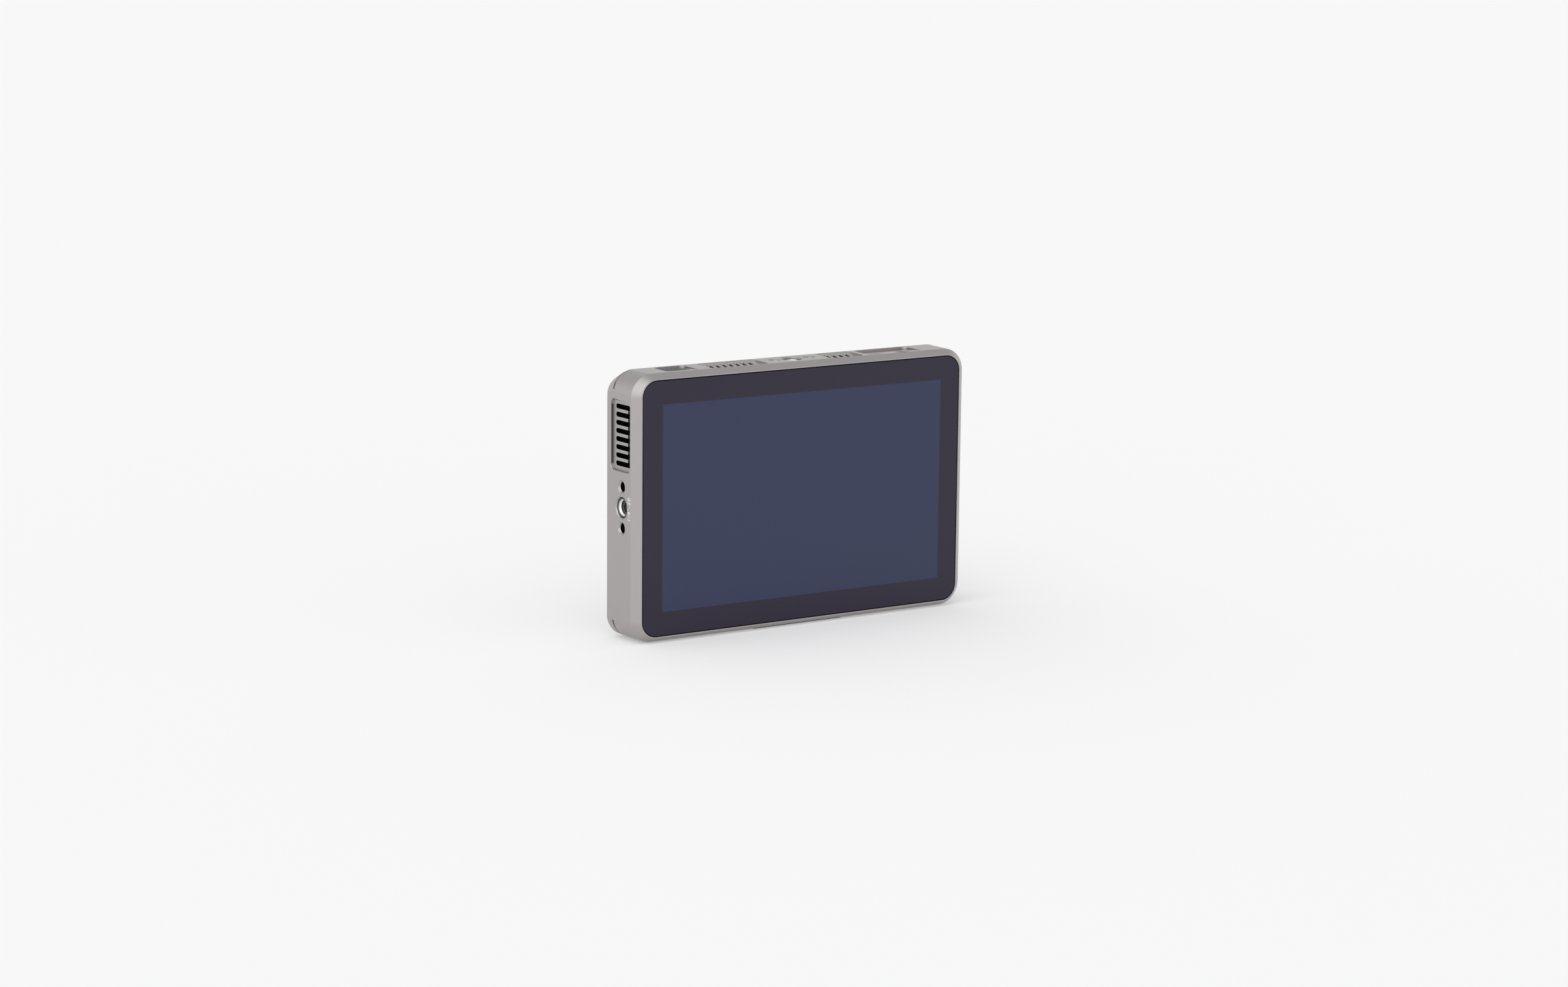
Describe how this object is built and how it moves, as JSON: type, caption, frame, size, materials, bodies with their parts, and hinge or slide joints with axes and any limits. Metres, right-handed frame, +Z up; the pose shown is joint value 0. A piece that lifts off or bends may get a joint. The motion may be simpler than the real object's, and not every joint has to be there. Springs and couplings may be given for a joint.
{
  "type": "camera field monitor",
  "caption": "Flat camera monitor in a grey metal housing with a glass front, vents, camera threads, sockets and battery plates on its back.",
  "frame": {"origin": "under the middle of the part's bounding box, on the surface it stands on", "axes": "+X to the right seen from the front, +Y from the screen to the back, +Z up"},
  "size_m": [0.18, 0.0316, 0.1224],
  "materials": {
    "housing_aluminium": "bead-blasted, anodised warm grey",
    "cover_aluminium": "bead-blasted, anodised dark grey",
    "frame_aluminium": "plain sheet",
    "sink_aluminium": "extruded, plain",
    "cover_glass": "polished, black border printed behind it",
    "lcd_glass": "matt polariser over black cells",
    "gasket_rubber": "matt black",
    "pad_rubber": "matt dark grey",
    "tray_plastic": "white",
    "board_laminate": "green solder mask",
    "chip_resin": "matt black",
    "fan_plastic": "matt black",
    "plate_plastic": "fine grained black",
    "button_plastic": "satin dark grey",
    "release_plastic": "satin red",
    "switch_plastic": "matt black",
    "jack_plastic": "matt black",
    "screen_mesh": "black mesh",
    "flex_film": "amber film",
    "cable_plastic": "matt black",
    "port_steel": "nickel-plated",
    "thread_steel": "turned, polished",
    "screw_steel": "plain",
    "screw_black": "blackened",
    "contact_brass": "gold-plated"
  },
  "bodies": {
    "monitor": {"housing": "housing_aluminium", "rear_cover": "cover_aluminium", "cover_glass": "cover_glass", "glass_gasket": "gasket_rubber", "lcd_panel": "lcd_glass", "backlight_unit": "tray_plastic", "mid_frame": "frame_aluminium", "main_board": "board_laminate", "processor_chip": "chip_resin", "board_chips": "chip_resin", "heat_sink": "sink_aluminium", "fan_frame": "fan_plastic", "power_switch": "switch_plastic", "usb_port": "port_steel", "headphone_jack": "jack_plastic", "hdmi_input_port": "port_steel", "hdmi_output_port": "port_steel", "dc_input_jack": "jack_plastic", "left_thread_insert": "thread_steel", "top_thread_insert": "thread_steel", "bottom_thread_insert": "thread_steel", "left_dust_screen": "screen_mesh", "top_dust_screens": "screen_mesh", "bottom_pad": "pad_rubber", "battery_plate_left": "plate_plastic", "battery_plate_right": "plate_plastic", "battery_contacts_left": "contact_brass", "battery_contacts_right": "contact_brass", "power_board": "board_laminate", "display_cable": "flex_film", "power_cable": "cable_plastic", "frame_screws": "screw_steel", "board_screws": "screw_steel", "cover_screws": "screw_black", "plate_screws": "screw_black", "fan_screws": "screw_steel"},
    "power_key": {"power_button": "button_plastic"},
    "left_release": {"release_button_left": "release_plastic"},
    "right_release": {"release_button_right": "release_plastic"},
    "fan_wheel": {"fan_rotor": "fan_plastic"}
  },
  "joints": [
    {"name": "power_button_press", "type": "slide", "parent": "monitor", "child": "power_key", "axis": [0, 0, -1], "range_m": [0, 0.0005], "stiffness_N_per_m": 1500},
    {"name": "left_release_press", "type": "slide", "parent": "monitor", "child": "left_release", "axis": [0, -1, 0], "range_m": [0, 0.0014], "stiffness_N_per_m": 900},
    {"name": "right_release_press", "type": "slide", "parent": "monitor", "child": "right_release", "axis": [0, -1, 0], "range_m": [0, 0.0014], "stiffness_N_per_m": 900},
    {"name": "fan_spin", "type": "hinge", "parent": "monitor", "child": "fan_wheel", "pos_m": [-0.0574, -0.00015, 0.088], "axis": [0, 1, 0], "continuous": true}
  ]
}
